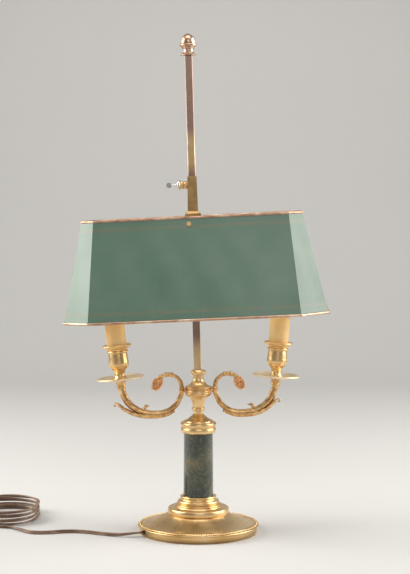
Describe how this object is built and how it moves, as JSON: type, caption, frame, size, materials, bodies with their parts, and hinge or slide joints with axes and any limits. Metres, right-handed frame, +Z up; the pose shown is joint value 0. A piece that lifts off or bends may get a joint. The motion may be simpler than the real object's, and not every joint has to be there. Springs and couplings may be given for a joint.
{
  "type": "bouillotte lamp",
  "caption": "Two-light gilt bouillotte lamp with a marble column and an eight-sided painted metal shade that slides on a square rod.",
  "frame": {"origin": "centre of the base's underside, on the table", "axes": "+Z up along the column, +X to the right-hand branch, -Y to the front"},
  "size_m": [0.5544, 0.2512, 0.6656],
  "materials": {
    "gilt": "polished, aged",
    "rod_brass": "satin, worn",
    "marble": "polished, veined",
    "shade_paint": "satin",
    "candle_card": "matte",
    "cord": "satin",
    "wire": "satin",
    "dark_plastic": "satin",
    "white_plastic": "gloss",
    "nickel": "polished",
    "steel": "satin",
    "bulb_glass": "frosted",
    "felt": "matte"
  },
  "bodies": {
    "base": {"base_plate": "gilt", "base_felt": "felt", "cord_grommet": "dark_plastic", "foot_ring": "gilt", "column_socket": "gilt", "column": "marble", "capital": "gilt", "vase": "gilt", "arm_hub": "gilt", "baluster_cap": "gilt", "tie_tube": "steel", "tie_washer": "steel", "tie_nut": "steel", "rod": "rod_brass", "finial": "gilt", "wire_connector": "white_plastic", "cord_inner": "cord", "cord_tail": "cord", "cord_hank": "cord", "cord_lead": "cord", "switch_body": "dark_plastic", "cord_end": "cord", "plug_body": "dark_plastic", "plug_pins": "nickel", "arm_left": "gilt", "arm_leaf_left": "gilt", "pine_cone_left": "gilt", "drip_pan_left": "gilt", "candle_cup_left": "gilt", "saucer_left": "gilt", "candle_sleeve_left": "candle_card", "nipple_left": "steel", "lamp_holder_left": "white_plastic", "bulb_cap_left": "nickel", "bulb_glass_left": "bulb_glass", "arm_wire_left": "wire", "arm_right": "gilt", "arm_leaf_right": "gilt", "pine_cone_right": "gilt", "drip_pan_right": "gilt", "candle_cup_right": "gilt", "saucer_right": "gilt", "candle_sleeve_right": "candle_card", "nipple_right": "steel", "lamp_holder_right": "white_plastic", "bulb_cap_right": "nickel", "bulb_glass_right": "bulb_glass", "arm_wire_right": "wire"},
    "shade": {"shade_body": "shade_paint", "shade_bottom_rim": "gilt", "shade_top_rim": "gilt", "strap": "gilt", "strap_screws": "steel", "sleeve": "gilt", "screw_boss": "gilt"},
    "shoe": {"clamp_shoe": "rod_brass"},
    "screw": {"thumb_screw": "nickel"},
    "rocker": {"switch_rocker": "dark_plastic"}
  },
  "joints": [
    {"name": "shade_slide", "type": "slide", "parent": "base", "child": "shade", "axis": [-0.0288, 0, 0.9996], "range_m": [-0.19, 0.157]},
    {"name": "shoe_slide", "type": "slide", "parent": "shade", "child": "shoe", "axis": [-0.9996, 0, -0.0288], "range_m": [0, 0.0016]},
    {"name": "thumb_turn", "type": "hinge", "parent": "shoe", "child": "screw", "pos_m": [-0.00815, 0, 0.46608], "axis": [-0.9996, 0, -0.0288], "range_deg": [0, 720]},
    {"name": "rocker", "type": "hinge", "parent": "base", "child": "rocker", "pos_m": [-0.368, 0.089, 0.0118], "axis": [1, 0, 0], "range_deg": [-16, 0]}
  ],
  "couplings": [
    {"joint": "thumb_turn", "follows": "shoe_slide", "rad_per_m": 7854}
  ]
}
